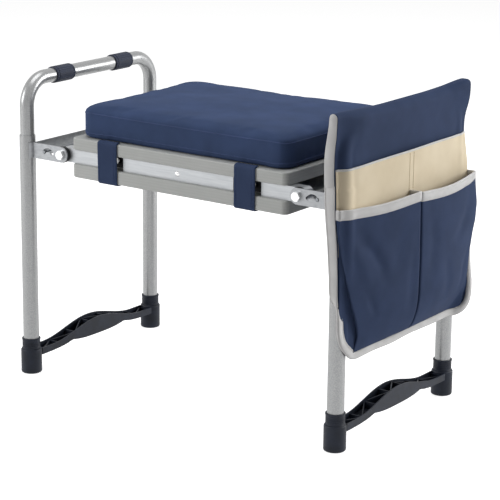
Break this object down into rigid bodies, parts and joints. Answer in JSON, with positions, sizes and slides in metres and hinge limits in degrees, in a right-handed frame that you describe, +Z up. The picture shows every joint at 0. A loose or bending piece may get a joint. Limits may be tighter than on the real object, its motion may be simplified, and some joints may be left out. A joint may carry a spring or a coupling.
{
  "type": "folding garden kneeler seat",
  "caption": "Folding garden kneeler and seat: a cushioned deck between two hinged U-shaped leg frames with hand grips and moulded foot braces, and a tool pouch hung on one handle.",
  "frame": {"origin": "on the floor, at the middle of the whole object's box in X and Y", "axes": "+X along the seat towards the end with the tool pouch, +Y towards the back, +Z up"},
  "size_m": [0.6342, 0.352, 0.4864],
  "materials": {
    "board": "grey moulded plastic with fine ridges",
    "rail": "satin anodised",
    "cross_member": "black powder coat",
    "end_plug": "black",
    "spacer": "black nylon",
    "fastener": "bright zinc plate",
    "cushion_cloth": "navy woven cloth over foam",
    "strap_web": "navy webbing",
    "leg_tube": "silver powder coat",
    "handle_tube": "silver powder coat",
    "grip_rubber": "navy, finely dotted",
    "foot_plastic": "navy moulded plastic",
    "bracket_steel": "zinc-plated pressed sheet",
    "rod_steel": "grey steel",
    "pouch_cloth": "navy woven cloth",
    "pouch_light_cloth": "beige woven cloth",
    "binding": "light grey tape"
  },
  "bodies": {
    "seat": {"upper_board": "board", "lower_board": "board", "rail_arms": "rail", "rail_middles": "rail", "rail_rivets": "fastener", "cross_members": "cross_member", "cross_plugs": "end_plug", "cross_bolts": "fastener", "cushion": "cushion_cloth", "cushion_straps": "strap_web", "pivot_bolts": "fastener", "pivot_spacers": "spacer", "pivot_nuts": "fastener"},
    "left_frame": {"left_front_leg": "leg_tube", "left_rear_leg": "leg_tube", "left_handle": "handle_tube", "left_grips": "grip_rubber", "left_foot_brace": "foot_plastic", "left_bracket": "bracket_steel", "left_bracket_rivets": "fastener"},
    "right_frame": {"right_front_leg": "leg_tube", "right_rear_leg": "leg_tube", "right_handle": "handle_tube", "right_grips": "grip_rubber", "right_foot_brace": "foot_plastic", "right_bracket": "bracket_steel", "right_bracket_rivets": "fastener", "pouch_hood": "pouch_cloth", "pouch_side_bands": "binding", "pouch_light_pocket": "pouch_light_cloth", "pouch_front_pocket": "pouch_cloth", "pouch_rear_pocket": "pouch_cloth", "pouch_bindings": "binding"},
    "left_lock": {"left_lock_rod": "rod_steel"},
    "right_lock": {"right_lock_rod": "rod_steel"}
  },
  "joints": [
    {"name": "left_fold", "type": "hinge", "parent": "seat", "child": "left_frame", "pos_m": [-0.23005, 0, 0.36275], "axis": [0, -1, 0], "range_deg": [0, 90]},
    {"name": "right_fold", "type": "hinge", "parent": "seat", "child": "right_frame", "pos_m": [0.20395, 0, 0.36275], "axis": [0, 1, 0], "range_deg": [0, 68]},
    {"name": "left_unlock", "type": "hinge", "parent": "left_frame", "child": "left_lock", "pos_m": [-0.25605, 0, 0.35673], "axis": [0, 1, 0], "range_deg": [0, 106]},
    {"name": "right_unlock", "type": "hinge", "parent": "right_frame", "child": "right_lock", "pos_m": [0.22995, 0, 0.35673], "axis": [0, -1, 0], "range_deg": [0, 106]}
  ]
}
